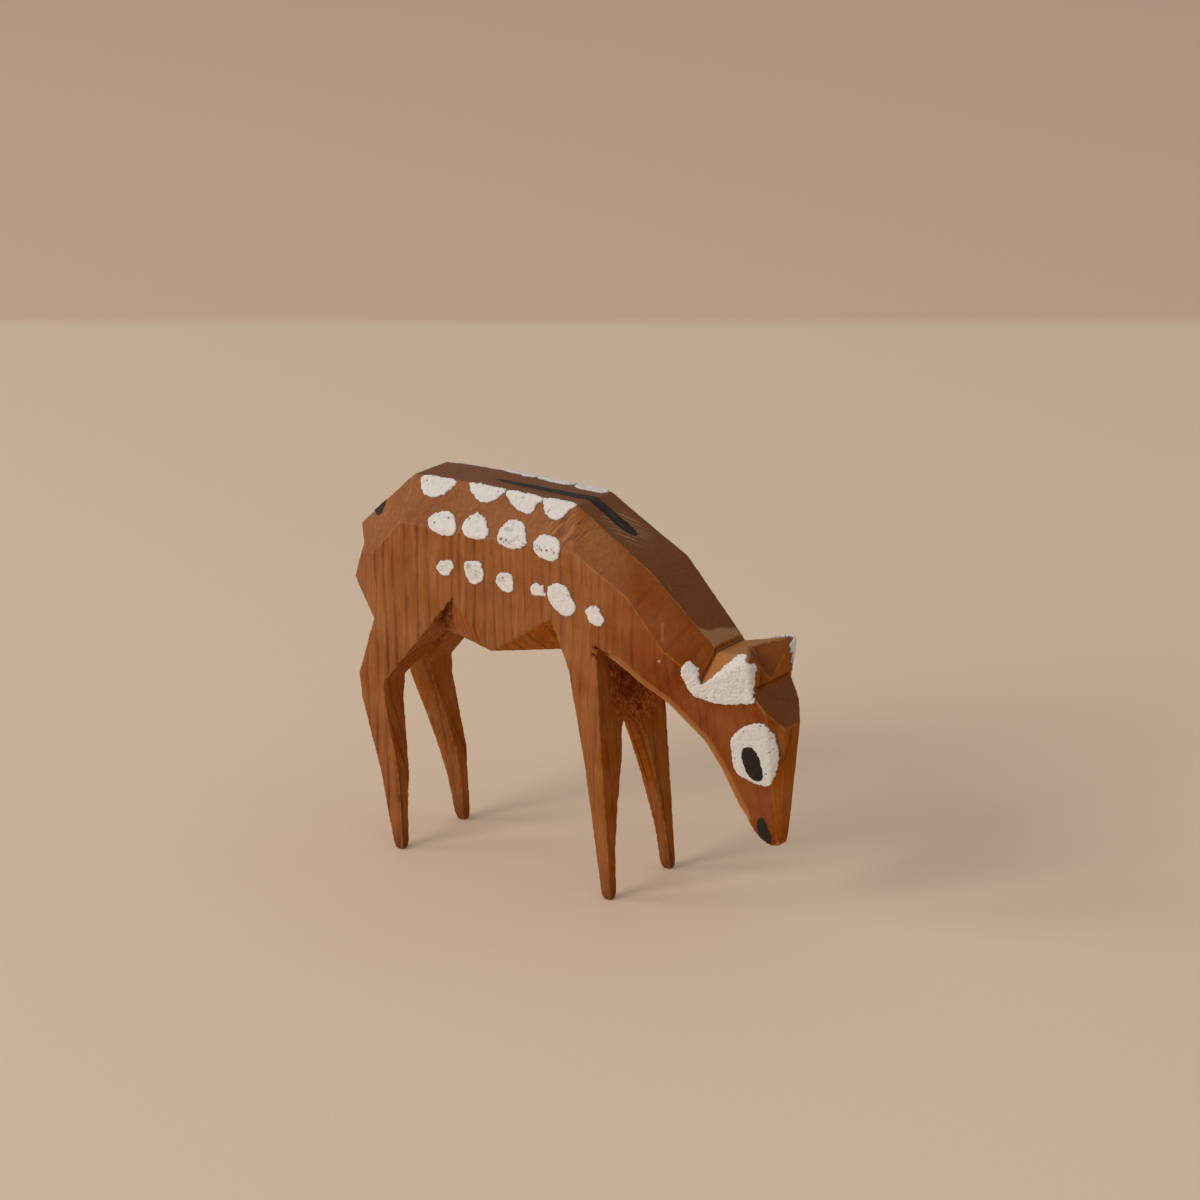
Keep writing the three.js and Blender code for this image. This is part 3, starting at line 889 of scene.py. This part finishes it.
# Rough wood: a base painted lighter to make up for the shade between the legs, painted highlights on
# raised strings, and painted shade in the hollows, deepest at the heart of the chop.
along_strings = millimetres(graph, (1, 1, 0.6))
fibre_highlight_share = remap(graph, mottle(graph, along_strings, 0.4), 0.48, 0.62)
rough_wood_with_painted_light = blend_colour(graph, fibre_highlight_share, chopped_wood_lightened, fibre_tip_highlight)
hollow_shade_share = remap(graph, mottle(graph, along_strings, 0.55), 0.52, 0.4, 0.0, 0.8)
hollow_shade_share = maths(graph, "MAXIMUM", hollow_shade_share, times(marked(graph, "chopped_heart_shade"), 0.5))
rough_wood_with_painted_light = blend_colour(graph, hollow_shade_share, rough_wood_with_painted_light, chopped_hollow_shade)

damage_and_painted_light = [
    ("chopped", 0.9, rough_wood_with_painted_light),
    ("torn_ridge_highlight", 0.4, pale_wood_and_highlight),
    ("torn_valley_shade", 0.4, painted_shade_wood),
    ("slit", 1.0, slit_shade_and_knot),
    ("scratch", 0.4, pale_wood_and_highlight),
    ("speck", 1.0, paint_speck),
]
for mark, share, other in damage_and_painted_light:
    colour = where_marked(colour, mark, share, other)
print("blended in:", ", ".join(mark for mark, _, _ in wear_and_painted_shade + damage_and_painted_light))

# %% Set the gloss and the fibres
fibre_depth = 0.06
roughness = remap(graph, fibre, 0.3, 0.7, 0.48, 0.65)
gloss = remap(graph, across, 0.0, 1.0, 0.26, 0.16)
for dull_mark, gloss_left in (("deep", 0.5), ("floor_bounce_faces", 0.1), ("slit", 0.0)):
    gloss = times(gloss, remap(graph, marked(graph, dull_mark), 0.0, 1.0, 1.0, gloss_left))
fibre_height = maths(graph, "ADD", times(fibre, 0.6), times(pores, across))
fill(graph, shader, {
    "Base Color": colour,
    "Roughness": roughness,
    "Specular IOR Level": gloss,
    "Normal": bumped(graph, fibre_height, 0.35, fibre_depth),
})
print("wood finish mixed")

# %% [markdown]
# ## Paint that lies on the wood
#
# The dabs are thick, matt paint, laid on with a loaded brush. A flat disc would float over
# the facets, and colour on the wood alone would look printed. So each mark is grown from the
# wood itself. We take the squares of the wood under the mark, halve them for finer
# detail, and lift them by the thickness of the film.
#
# The thickness is where the character is. It rises steeply at the rim, swells a little in the
# middle, and falls below the surface of the wood outside the outline, so that the visible
# rim is where film and wood cross. A bit of noise on the outline makes the rim ragged, and
# more noise on the film gives the stipple of the bristles. Small bubbles have burst and left
# pits, some of them down to the wood.

# %% Helpers for the outline of a mark
def smooth_loop(outline, rounds=3):
    """A closed outline with its corners cut off again and again, until it is round."""
    loop = np.array(outline, dtype=float)
    for _ in range(rounds):
        following = np.roll(loop, -1, axis=0)
        corner_cuts = [0.75 * loop + 0.25 * following, 0.25 * loop + 0.75 * following]
        loop = np.stack(corner_cuts, axis=1).reshape(-1, 2)
    return loop


def depth_inside(places, loop):
    """How far each place lies inside a closed outline. Outside it is negative."""
    starts, ends = loop, np.roll(loop, -1, axis=0)
    ways = ends - starts
    offsets = places[:, None, :] - starts[None]
    shares = np.clip((offsets * ways).sum(2) / (ways * ways).sum(1), 0, 1)
    gaps = np.linalg.norm(offsets - shares[..., None] * ways, axis=2).min(axis=1)
    px, py = places[:, 0:1], places[:, 1:2]
    straddles = (starts[:, 1] > py) != (ends[:, 1] > py)
    rise = np.where(ways[:, 1] == 0, 1, ways[:, 1])
    crossings = straddles & (px < ways[:, 0] * (py - starts[:, 1]) / rise + starts[:, 0])
    return np.where(crossings.sum(axis=1) % 2 == 1, gaps, -gaps)


print("outline helpers ready")

# %% Helpers for growing a film
def kept_part(points, normals, squares):
    """Only the points that the squares still use."""
    used, renumbered = np.unique(squares, return_inverse=True)
    return points[used], normals[used], renumbered.reshape(squares.shape)


def halved(points, normals, squares):
    """Each square, split into four."""
    sides = np.sort(np.stack([squares, np.roll(squares, -1, axis=1)], axis=2).reshape(-1, 2), axis=1)
    unique_sides, side_of = np.unique(sides, axis=0, return_inverse=True)
    side_of = side_of.reshape(squares.shape) + len(points)
    middle_of = np.arange(len(squares)) + len(points) + len(unique_sides)
    quarters = []
    for k in range(4):
        quarters.append(np.stack([squares[:, k], side_of[:, k], middle_of, side_of[:, k - 1]], axis=1))

    def with_middles(values):
        """The values, and after them those at the middle of each side and of each square."""
        return np.concatenate([values, values[unique_sides].mean(axis=1), values[squares].mean(axis=1)])

    return with_middles(points), unit(with_middles(normals)), np.concatenate(quarters)


def closed_film(points, normals, squares, thickness, sunk):
    """A closed shell: the lifted squares, the same squares sunk into the wood, and a rim."""
    count = len(points)
    top = points + thickness[:, None] * normals
    bottom = points - sunk * normals
    starts, ends = squares.reshape(-1), np.roll(squares, -1, axis=1).reshape(-1)
    ways_there = starts * count + ends
    ways_back = ends * count + starts
    open_sides = ~np.isin(ways_there, ways_back)
    a, b = starts[open_sides], ends[open_sides]
    rim = np.stack([b, a, a + count, b + count], axis=1)
    faces = np.concatenate([squares, squares[:, ::-1] + count, rim])
    return np.concatenate([top, bottom]), faces


print("film helpers ready")

# %% [markdown]
# ## Recipes for the film
#
# A recipe says how a film turns out: how thick it is, how steep its rim, how much it swells,
# how ragged its outline and how rough its stipple are, how far it thins out in patches, and
# how many bubbles burst in a square millimetre. The small dabs of the lower row were laid
# with a nearly empty brush, which left them hollow in the middle. Two dabs of the middle row
# have their pits in a band, where the brush was lifted.

# %% Write the recipes
dab = {
    "thickness": 0.32, "rim": 0.1, "crown": 0.2, "ragged": 0.2, "stipple": 0.06, "thin": 0.2,
    "hollow": 0.0, "pits": 0.12, "pits_at": 0.0, "pits_within": 99.0,
}
wash = {**dab, "thickness": 0.13, "crown": 0.1, "ragged": 0.16, "stipple": 0.03, "thin": 0.1, "pits": 0.0}
patch = {**dab, "rim": 0.14, "crown": 0.1, "thin": 0.15}
recipes = {
    "white": {**dab, "crown": 0.25, "ragged": 0.19, "stipple": 0.05},
    "dry": {**dab, "ragged": 0.22, "thin": 0.3, "pits": 2.4, "pits_at": -0.2, "pits_within": 0.6},
    "smudged": {**dab, "thin": 0.6, "pits": 1.8, "pits_at": -1.0, "pits_within": 0.5},
    "sparse": {
        **dab, "thickness": 0.26, "crown": 0.0, "ragged": 0.18, "thin": 0.4, "hollow": 0.32, "pits": 0.2,
    },
    "ear": {**patch, "thickness": 0.42, "ragged": 0.22, "stipple": 0.1, "pits": 0.05},
    "eye": {**patch, "thickness": 0.3, "ragged": 0.16, "stipple": 0.045, "pits": 0.1},
    "black": wash,
    "long_stroke": {**wash, "thickness": 0.12, "ragged": 0.14, "thin": 0.5},
}


def film_over(points, inside, recipe, seed):
    """The thickness of the film at each point, below nought outside the mark."""
    raggedness = wander(points, 1.0, seed=seed) + wander(points, 0.4, seed=seed + 1)
    inside = inside + recipe["ragged"] * raggedness
    swell = 1 + recipe["crown"] * inside / (np.abs(inside) + 1.2)
    body = recipe["thickness"] * swell * (1 - np.exp(-np.maximum(inside, 0) / recipe["rim"]))
    bristles = wander(points, 0.5, seed=seed + 2) + 0.6 * wander(points, 0.22, seed=seed + 3)
    thinned = recipe["thin"] * smooth_step(wander(points, 1.3, seed=seed + 4), 0.0, 0.4)
    body = body * (1 - thinned * smooth_step(inside, 0.2, 0.7))
    body = body * (1 - recipe["hollow"] * smooth_step(inside, 0.3, 0.9))
    film = body + recipe["stipple"] * bristles * smooth_step(inside, 0, 0.4)
    return np.where(inside > 0, film, np.maximum(0.8 * inside, -0.1))


def pitted(film, places, inside, recipe, seed):
    """The film with burst bubbles, all over the mark or in a band across it."""
    chance = np.random.default_rng(seed)
    off_band = np.abs(places[:, 1] - recipe["pits_at"])
    wet = places[(inside > 0.2) & (off_band < recipe["pits_within"])]
    area = len(wet) * (square_size / 2) ** 2
    for _ in range(int(recipe["pits"] * area + 0.5)):
        middle = wet[chance.integers(len(wet))]
        radius = chance.uniform(0.08, 0.2)
        gap = np.linalg.norm(places - middle, axis=1)
        film = film - (film + 0.02) * chance.uniform(0.6, 1.0) * np.exp(-((gap / radius) ** 4))
    return film


print("recipes:", ", ".join(recipes))

# %% [markdown]
# ## One mark of paint
#
# A mark needs a middle, the direction that the brush came from, an outline in millimetres
# round the middle, and a recipe. The middle comes from the CAD piece that the mark replaces,
# so every mark sits where the frame says. Only squares that face the brush take paint.
#
# The squares are sorted out twice. The first round keeps those near the outline and halves
# them, and the second trims the halved ones closer. So the fine squares are spent on the mark.

# %% Lay one mark
sunk_depth = 0.12
margin = 0.3
least_facing = 0.08


def lay_mark(name, surface, middle, towards_brush, outline, recipe, seed, finish):
    """Makes one mark of paint on a surface, and returns its top as a surface for more paint."""
    points, normals, squares = surface
    towards_brush = unit(np.array([towards_brush], dtype=float))[0]
    forward = unit(np.array([[1, 0, 0] - towards_brush * towards_brush[0]]))[0]
    up = np.cross(towards_brush, forward) * (1 if towards_brush[1] <= 0 else -1)
    loop = smooth_loop(outline)
    reach = 1.5 * (np.abs(loop).max() + margin + 1)

    def seen_from_brush(points):
        """Where each point lies from the middle, as the brush sees it: how far ahead, how far up."""
        return np.column_stack([(points - middle) @ forward, (points - middle) @ up])

    near = np.linalg.norm(points - middle, axis=1) < reach
    near = near & (normals @ towards_brush > least_facing) & (points[:, 1] * towards_brush[1] >= 0)
    surface = kept_part(points, normals, squares[near[squares].all(axis=1)])
    for fineness in (1, 2):
        points, normals, squares = surface
        inside = depth_inside(seen_from_brush(points), loop)
        touched = (inside[squares] > -margin / fineness).any(axis=1)
        surface = kept_part(points, normals, squares[touched])
        if fineness == 1:
            surface = halved(*surface)

    points, normals, squares = surface
    places = seen_from_brush(points)
    inside = depth_inside(places, loop)
    film = film_over(points, inside, recipe, seed)
    film = pitted(film, places, inside, recipe, seed)
    shell, faces = closed_film(points, normals, squares, film, sunk_depth)
    mesh = write_mesh(name, shell, faces)
    give_marks(mesh, {"film": np.concatenate([film, np.zeros(len(film))]) / recipe["thickness"]})
    mesh.materials.append(finish)
    mark = add_object(name, mesh)
    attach(mark, "root")
    return mark, (points + film[:, None] * normals, normals, squares)


print("ready to paint")

# %% [markdown]
# ## The two paints
#
# The white is a matt chalky paint, a little warm, and it stays matt because light sinks in
# and scatters. Where the film is thin, over a pit or at the rim, the brown below shows and dirt
# has settled. The black is a little brown, thinner, and not quite as matt.
#
# The film could be made see-through where it is thin. That is slow to render, and shows what
# is sunk in the wood. It is simpler to let the colour follow the mark called film, which says
# how thick the film is at each point.

# %% Mix the paints
chalk_white = tone(229, 225, 220)
chalk_shade = tone(213, 207, 203)
thin_white = tone(180, 170, 166)
pit_brown = tone(86, 62, 52)
soot_black = tone(30, 22, 17)
worn_black = tone(60, 44, 36)
thin_black = tone(84, 56, 40)
grit_depth = 0.04

white_finish, graph, shader = new_finish("white_paint")
film = marked(graph, "film")
place = millimetres(graph)
colour = where_mottled(chalk_white, mottle(graph, place, 0.8), 0.35, 0.7, 0.8, chalk_shade)
colour = blend_colour(graph, remap(graph, film, 0.75, 0.3), colour, thin_white)
colour = blend_colour(graph, remap(graph, film, 0.35, 0.08), colour, pit_brown)
grit = bumped(graph, mottle(graph, place, 0.12, 4.0), 0.5, grit_depth)
fill(graph, shader, {"Base Color": colour, "Roughness": 0.85, "Specular IOR Level": 0.25, "Normal": grit})

black_finish, graph, shader = new_finish("black_paint")
film = marked(graph, "film")
place = millimetres(graph)
colour = where_mottled(soot_black, mottle(graph, place, 0.6), 0.4, 0.75, 0.6, worn_black)
colour = blend_colour(graph, remap(graph, film, 0.8, 0.1), colour, thin_black)
grit = bumped(graph, mottle(graph, place, 0.15, 4.0), 0.5, grit_depth)
fill(graph, shader, {"Base Color": colour, "Roughness": 0.62, "Specular IOR Level": 0.28, "Normal": grit})
print("paints mixed")

# %% [markdown]
# ## The white dabs
#
# Two rows of four, one of three, and three more on the shoulder, on each side. The brush was
# pressed down and lifted, so each dab is a ragged blob of its own shape. The upper row was
# laid along the edge of the back, from above and outside at once: these dabs hang
# over the edge like half-moons with a straight top.
#
# One outline could be turned and stamped again and again, but the eye soon finds a repeat. So
# each dab has an outline of its own, drawn as a few points round its middle.
#
# The left side is the mirror image of the right one, but each mark gets a seed and a size of
# its own, because no two dabs dry alike. Three of the left upper row reach further over the edge.

# %% Draw the outlines of the dabs
dab_outlines = {
    "top_spot_1": [
        (-3.9, 2.3), (-3.9, 0.9), (-3.1, -0.7), (-2.1, -1.7), (0.5, -2.0), (2.7, -0.8), (3.6, 0.7),
        (4.4, 1.7), (3.9, 2.4),
    ],
    "top_spot_2": [
        (-4.2, 1.9), (-4.0, 1.1), (-3.1, 0.1), (-1.8, -1.0), (-0.1, -1.6), (1.4, -1.6), (2.8, -0.8),
        (3.6, 0.5), (4.4, 1.3), (4.0, 2.0),
    ],
    "top_spot_3": [
        (-4.3, 2.2), (-4.1, 1.3), (-3.0, 0.1), (-1.6, -0.8), (0.2, -1.6), (2.0, -2.0), (3.5, -1.1),
        (3.4, 0.5), (4.4, 0.8), (4.2, 2.2),
    ],
    "top_spot_4": [
        (-3.9, 2.4), (-3.6, 1.2), (-2.9, -0.3), (-1.4, -1.4), (0.5, -1.9), (1.9, -1.1), (2.4, 0.6),
        (3.8, 1.6), (3.3, 2.4),
    ],
    "middle_spot_1": [
        (-2.1, 1.7), (0, 2.3), (1.8, 1.9), (3.3, 0.1), (3.7, -0.9), (2.7, -1.7), (0.8, -2.2),
        (-2.4, -1.4), (-3.6, -0.1), (-3.4, 0.8),
    ],
    "middle_spot_2": [
        (-2.2, 2), (-0.8, 2.5), (0.8, 2), (2.1, 1), (3.2, -0.5), (2.6, -1.6), (0.4, -2),
        (-2.1, -1.6), (-3.1, -0.7), (-3.1, 0.9),
    ],
    "middle_spot_3": [
        (-1.9, 2.4), (0.5, 2.6), (1.8, 1.7), (2.6, 0.4), (3.7, -0.8), (2.2, -1.9), (0.4, -2.5),
        (-2.3, -2.1), (-3.4, -0.8), (-3.4, 1),
    ],
    "middle_spot_4": [
        (-1.9, 2.4), (0, 2.4), (1.7, 2.1), (2.9, 0.9), (2.9, -0.4), (2, -1.9), (-0.4, -2.1),
        (-2.4, -1.2), (-3.4, 0.3), (-2.9, 1.5),
    ],
    "lower_spot_1": [
        (-2.3, 0), (-1.6, 1.2), (0, 1.7), (1.7, 1.8), (1.9, 0.6), (1.1, -1.2), (-0.3, -1.6),
        (-1.7, -1.2),
    ],
    "lower_spot_2": [
        (-2.8, 0.8), (-2.2, 2.2), (-0.5, 2.2), (0.6, 2.7), (1.5, 1.9), (2.1, 0.1), (1.6, -1.4),
        (-0.2, -2.4), (-1.8, -1.8),
    ],
    "lower_spot_3": [
        (-2.4, 0), (-1.6, 1.4), (-0.1, 2.1), (1.6, 1.7), (1.7, -0.3), (1.8, -1.7), (0.2, -2.1),
        (-1.7, -1.5),
    ],
    "shoulder_spot_1": [
        (-2, -0.1), (-1.3, 1.1), (-0.2, 1.4), (0.4, 0.9), (1.3, 1.5), (1.3, 0.2), (1.9, -0.8),
        (0.5, -1.2), (-1.4, -1.4),
    ],
    "shoulder_spot_2": [
        (-3.5, 1.1), (-2.7, 2.7), (-0.6, 3.3), (1.4, 2.5), (2.1, 0.9), (3.2, -0.6), (2.6, -2.3),
        (0.9, -3.2), (-1.4, -2.3), (-2.9, -0.9),
    ],
    "shoulder_spot_3": [
        (-2.6, 0.6), (-1.7, 1.8), (-0.3, 2.2), (0.8, 1.7), (0.8, 0.9), (1.9, 0.1), (1.5, -1.6),
        (-0.3, -2), (-2, -0.9),
    ],
}
print("outlines drawn:", len(dab_outlines))

# %% Helpers for laying marks in pairs
sides = {"right": 1, "left": -1}
left_seeds = 500
left_spread = (0.95, 1.04)


def node_middle(node):
    """The middle of a CAD piece's box, in millimetres."""
    low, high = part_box(node)
    return np.array((low + high) / 2) / MM


def pair_of_marks(
    name, surfaces, brush, outline, recipe, finish, seed, left_growth=1.0, left_outline=None,
):
    """The same mark on the right and on the left. The tops of both come back."""
    tops = {}
    for side, sign in sides.items():
        node = f"{side}_{name}"
        shape, own_seed = np.array(outline), seed
        if side == "left":
            own_seed = seed + left_seeds
            spread = left_growth * np.random.default_rng(own_seed).uniform(*left_spread, 2)
            shape = np.array(left_outline or outline) * spread
        mark, tops[side] = lay_mark(
            node.replace("spot", "dab"), surfaces[side], node_middle(node),
            (brush[0], brush[1] * sign, brush[2]), shape, recipes[recipe], own_seed, finish,
        )
        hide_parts(node)
    return tops


print("ready to paint in pairs")

# %% Lay the white dabs
brush_from_side = (0, -1, 0)
brush_from_edge = (0, -0.77, 0.64)
dab_recipes = {"middle_spot_3": "smudged", "middle_spot_4": "dry"}
reaching_over = ("top_spot_2", "top_spot_3", "top_spot_4")
reach_over = np.array([1.0, 1.45])
wood_surface = (wood_points, wood_normals, body_squares)
bare_wood = {side: wood_surface for side in sides}

for number, (name, outline) in enumerate(dab_outlines.items()):
    brush = brush_from_edge if name.startswith("top") else brush_from_side
    recipe = dab_recipes.get(name, "sparse" if name.startswith("lower") else "white")
    growth = reach_over if name in reaching_over else 1.0
    pair_of_marks(name, bare_wood, brush, outline, recipe, white_finish, 20 + 10 * number, growth)
print("white dabs:", 2 * len(dab_outlines))

# %% [markdown]
# ## Ears and eyes
#
# The white behind each ear is the largest patch. It fills the side of the ear up to the tip,
# and runs back below the stop cut into a short lobe. On the right it wraps round the front
# edge, and the brush missed a corner of the tip. On the left it went over the whole tip and
# stopped at the front edge. The eye is a white oval with a straight upper corner. It bends
# over the edge between the cheek and the front of the face, and the black pupil goes on top
# of it once it is dry. So the pupil is grown from the top of the white, not from the wood.

# %% Paint the ears and the eyes
brush_from_cheek = (0.35, -0.94, 0)
ear_back = [
    (4.9, -4.5), (2.6, -5.1), (-0.4, -5.2), (-4.4, -4.5), (-5.6, -3.6), (-6.9, -1.2), (-7.3, 0.6),
    (-6.9, 1.6), (-6.0, 2.2), (-4.8, 1.7), (-3.9, 0.6), (-3.6, -1.5), (-3.2, -1.7), (-1.2, -0.2),
    (1.1, 2.1),
]
missed_tip = [
    (3.9, 4.8), (5.4, 5.2), (5.4, 3.9), (6.0, 3.8), (6.8, 3.0), (6.6, 0.6), (6.4, -2.2), (7.2, -4.2),
]
whole_tip = [(3.7, 5.2), (5.6, 6.4), (6.9, 5.6), (6.7, 3.0), (6.25, 0.6), (6.1, -2.2), (6.4, -4.2)]
eye_outline = [
    (-4.8, 1.7), (-3.6, 3.5), (-2.0, 5.1), (1.6, 6.6), (3.0, 5.6), (3.9, 2.5), (4.0, -1.2), (3.2, -4.6),
    (2.2, -6.7), (-1.4, -6.0), (-3.9, -4.8), (-4.6, -2.6), (-4.4, -0.9),
]
pupil_outline = [
    (-2.4, 2.6), (-1.5, 3.3), (0.2, 3.1), (1.0, 0.6), (1.4, -2.2), (0.7, -3.6), (-1.1, -3.3),
    (-2.2, -1.3), (-2.6, 0.9),
]
pair_of_marks(
    "ear_white", bare_wood, brush_from_cheek, ear_back + missed_tip, "ear", white_finish, 200, 1.02,
    ear_back + whole_tip,
)
eye_tops = pair_of_marks("eye_white", bare_wood, brush_from_side, eye_outline, "eye", white_finish, 210)
pair_of_marks("pupil", eye_tops, brush_from_side, pupil_outline, "black", black_finish, 220)
print("ears and eyes painted")

# %% [markdown]
# ## Nostrils, stripe and tail
#
# The last black marks are thin. The stripe was pulled in one stroke from the back down
# between the shoulders: it starts as a fine tip, swells and ends round. The tail is a
# patch across the steep end of the back. Films as thick as the white dabs would catch the
# light along their rims, which the real ones don't, so these marks take the thin recipes.

# %% Paint the nostrils, the stripe and the tail
brush_from_above = (0.2, 0, 0.98)
brush_from_behind = (-0.65, 0, 0.76)
nostril_outline = [
    (-1.9, 1.2), (-1.4, 2.1), (-0.5, 2.3), (0.0, 0.7), (0.9, -1.4), (0.7, -2.9), (-0.4, -3.1),
    (-1.7, -2.1), (-2.0, -0.3),
]
stripe_outline = [
    (-16.6, -0.5), (-12, 0.4), (-4, 0.6), (5.5, 1.5), (11, 1.6), (15.2, 1.7), (16.4, 0.4),
    (15.2, -1.2), (11, -1.4), (5.5, -1.3), (-4, -1.7), (-12, -1.6),
]
tail_outline = [
    (-3.0, 0.6), (-2.2, 3.4), (0, 4.9), (2.2, 3.6), (3.1, 0.4), (2.5, -3.6), (1.0, -5.7),
    (-1.4, -5.3), (-2.8, -2.6),
]

pair_of_marks("nostril", bare_wood, brush_from_side, nostril_outline, "black", black_finish, 230)
stripe, _ = lay_mark(
    "back_stripe_paint", wood_surface, node_middle("back_stripe"), brush_from_above, stripe_outline,
    recipes["long_stroke"], 240, black_finish,
)
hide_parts("back_stripe")
tail, _ = lay_mark(
    "tail_paint", wood_surface, node_middle("tail_patch"), brush_from_behind, tail_outline,
    recipes["black"], 250, black_finish,
)
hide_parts("tail_patch")
